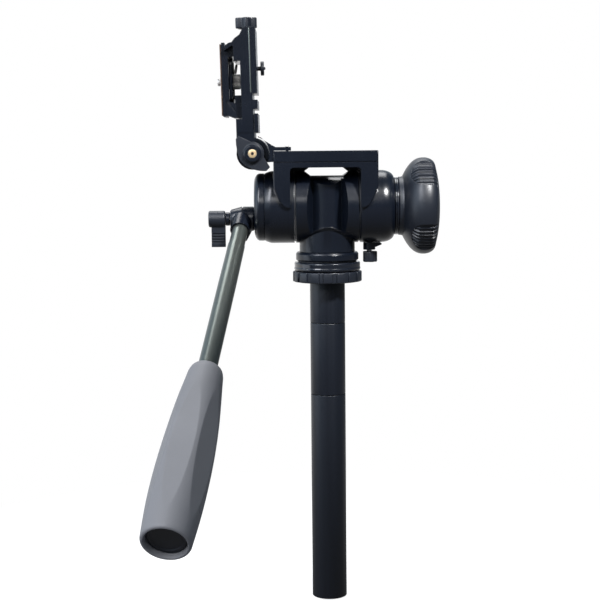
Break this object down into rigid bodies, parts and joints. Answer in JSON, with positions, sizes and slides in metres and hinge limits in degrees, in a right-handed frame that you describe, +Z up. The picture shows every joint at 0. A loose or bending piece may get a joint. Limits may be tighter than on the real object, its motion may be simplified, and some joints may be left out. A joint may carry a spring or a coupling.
{
  "type": "pan and tilt head",
  "caption": "Black pan and tilt head on a short column, with a fold-down clamping platform, one slanted grip handle, a ribbed drag dial and small lock knobs.",
  "frame": {"origin": "centre of the column's lower end, on the pan axis", "axes": "+Z up along the pan axis, +X along the tilt axle towards the drag dial, the grip handle points to -Y, where the operator stands"},
  "size_m": [0.2135, 0.319, 0.4673],
  "materials": {
    "anodised_tube": "satin black anodised",
    "satin_black_casting": "satin black coat on cast alloy",
    "glossy_black_ring": "glossy black",
    "moulded_black": "fine matt moulding",
    "soft_grip_rubber": "soft matt rubber",
    "dark_anodised_rod": "dark anodised, polished",
    "bright_steel": "bright plated",
    "bearing_bronze": "machined",
    "nylon_washer": "smooth",
    "brown_cork_rubber": "matt granular"
  },
  "bodies": {
    "column": {"column_lower_tube": "anodised_tube", "column_middle_tube": "anodised_tube", "column_upper_tube": "anodised_tube", "lower_joint_plug": "bright_steel", "upper_joint_plug": "bright_steel", "column_top_plug": "bright_steel", "base_hub": "satin_black_casting", "base_collar": "glossy_black_ring", "pan_spindle": "bright_steel", "spindle_nut": "bright_steel", "spindle_spring_washer": "bright_steel"},
    "pan_lock": {"pan_lock_ring": "moulded_black"},
    "pan_body": {"pan_friction_washer": "nylon_washer", "pan_flange": "satin_black_casting", "pan_housing": "satin_black_casting", "left_axle_bush": "bearing_bronze", "right_axle_bush": "bearing_bronze"},
    "tilt_body": {"tilt_axle": "bright_steel", "left_friction_disc": "nylon_washer", "right_friction_disc": "nylon_washer", "left_drum": "satin_black_casting", "left_end_cap": "satin_black_casting", "right_drum": "satin_black_casting", "drag_washer": "glossy_black_ring", "lock_boss": "satin_black_casting", "yoke": "satin_black_casting", "hinge_bracket": "satin_black_casting", "front_bracket_screw": "bright_steel", "back_bracket_screw": "bright_steel", "hinge_pin": "bright_steel", "rosette_hub": "satin_black_casting"},
    "dial": {"drag_dial": "moulded_black", "dial_cap": "glossy_black_ring"},
    "tilt_lock": {"lock_knob": "moulded_black", "lock_screw": "bright_steel"},
    "hinge_lever": {"flip_lever": "moulded_black", "pivot_screw": "bright_steel"},
    "platform": {"flip_platform": "satin_black_casting"},
    "jaw": {"movable_jaw": "satin_black_casting"},
    "clamp": {"clamp_knob": "moulded_black", "clamp_screw": "bright_steel"},
    "quick_plate": {"quick_release_plate": "satin_black_casting", "camera_pad": "brown_cork_rubber"},
    "camera_fixing": {"camera_screw": "bright_steel"},
    "finger_ring": {"folding_ring": "bright_steel"},
    "button": {"safety_button": "moulded_black"},
    "handle": {"handle_head": "satin_black_casting", "handle_rod": "dark_anodised_rod", "handle_grip": "soft_grip_rubber", "grip_end_plug": "moulded_black"},
    "handle_clamp": {"wing_lever": "moulded_black", "handle_bolt": "bright_steel", "bolt_collar": "satin_black_casting"}
  },
  "joints": [
    {"name": "pan_turn", "type": "hinge", "parent": "column", "child": "pan_body", "pos_m": [0, 0, 0.2756], "axis": [0, 0, 1], "continuous": true},
    {"name": "pan_lock_turn", "type": "hinge", "parent": "column", "child": "pan_lock", "pos_m": [0, 0, 0.2585], "axis": [0, 0, 1], "range_deg": [-30, 30]},
    {"name": "tilt_turn", "type": "hinge", "parent": "pan_body", "child": "tilt_body", "pos_m": [0, 0, 0.3182], "axis": [1, 0, 0], "range_deg": [-60, 90]},
    {"name": "dial_turn", "type": "hinge", "parent": "tilt_body", "child": "dial", "pos_m": [0.0727, 0, 0.3182], "axis": [1, 0, 0], "range_deg": [-180, 180]},
    {"name": "tilt_lock_turn", "type": "hinge", "parent": "tilt_body", "child": "tilt_lock", "pos_m": [0.0337, 0, 0.2823], "axis": [0, 0, 1], "range_deg": [-180, 180]},
    {"name": "platform_flip", "type": "hinge", "parent": "tilt_body", "child": "platform", "pos_m": [-0.058, 0, 0.3608], "axis": [0, 1, 0], "range_deg": [0, 91.2]},
    {"name": "hinge_lever_turn", "type": "hinge", "parent": "tilt_body", "child": "hinge_lever", "pos_m": [-0.058, -0.0263, 0.3608], "axis": [0, 1, 0], "range_deg": [0, 45]},
    {"name": "clamp_turn", "type": "hinge", "parent": "platform", "child": "clamp", "pos_m": [-0.06263, 0, 0.45792], "axis": [-0.0209, 0, 0.9998], "range_deg": [0, 1153]},
    {"name": "jaw_slide", "type": "slide", "parent": "platform", "child": "jaw", "axis": [0.0209, 0, -0.9998], "range_m": [0, 0.004]},
    {"name": "plate_slide", "type": "slide", "parent": "platform", "child": "quick_plate", "axis": [0, 1, 0], "range_m": [-0.015, 0.015]},
    {"name": "camera_screw_turn", "type": "hinge", "parent": "quick_plate", "child": "camera_fixing", "pos_m": [-0.07598, 0, 0.41704], "axis": [0.9998, 0, 0.0209], "range_deg": [-90, 90]},
    {"name": "ring_fold", "type": "hinge", "parent": "camera_fixing", "child": "finger_ring", "pos_m": [-0.07191, 0, 0.42332], "axis": [0, 1, 0], "range_deg": [-25, 12]},
    {"name": "button_press", "type": "slide", "parent": "platform", "child": "button", "axis": [-0.9998, 0, -0.0209], "range_m": [0, 0.0012], "stiffness_N_per_m": 400, "springref_m": -0.001},
    {"name": "handle_angle", "type": "hinge", "parent": "tilt_body", "child": "handle", "pos_m": [-0.07245, 0, 0.309], "axis": [1, 0, 0], "range_deg": [-60, 15]},
    {"name": "handle_clamp_turn", "type": "hinge", "parent": "handle", "child": "handle_clamp", "pos_m": [-0.0878, 0, 0.309], "axis": [1, 0, 0], "range_deg": [-90, 90]}
  ],
  "couplings": [
    {"joint": "clamp_turn", "follows": "jaw_slide", "rad_per_m": 5026.5}
  ]
}
